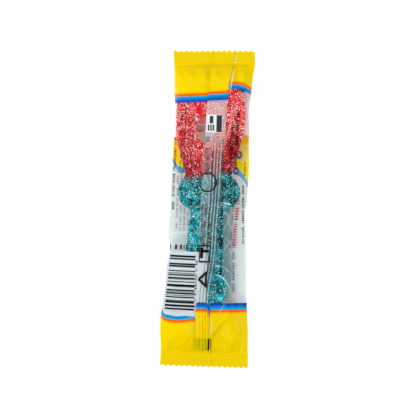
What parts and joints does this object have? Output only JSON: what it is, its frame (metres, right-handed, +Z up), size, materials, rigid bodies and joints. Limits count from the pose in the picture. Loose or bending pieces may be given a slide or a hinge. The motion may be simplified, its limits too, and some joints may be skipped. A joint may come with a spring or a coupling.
{
  "type": "wrapped gummy key",
  "caption": "Sugar-coated two-tone gummy in the shape of a key, sealed in a clear flow pack with printed ends and a folded fin seal.",
  "frame": {"origin": "on the floor under the middle of the pack's bounding box", "axes": "+Y along the pack towards the end with the key's bow, +Z up through the back with the fin seal, +X to the right seen from above"},
  "size_m": [0.0444, 0.1596, 0.0122],
  "materials": {
    "printed_film": "thin glossy film printed with flat yellow ends, orange and blue bands and a white label",
    "clear_film": "clear glossy film with soft creases",
    "gummy": "translucent fruit jelly, red at the bow and teal from the collar down",
    "sugar": "loose coating of small glittering sugar crystals"
  },
  "bodies": {
    "root": {"flow_pack": "printed_film"}
  },
  "joints": []
}
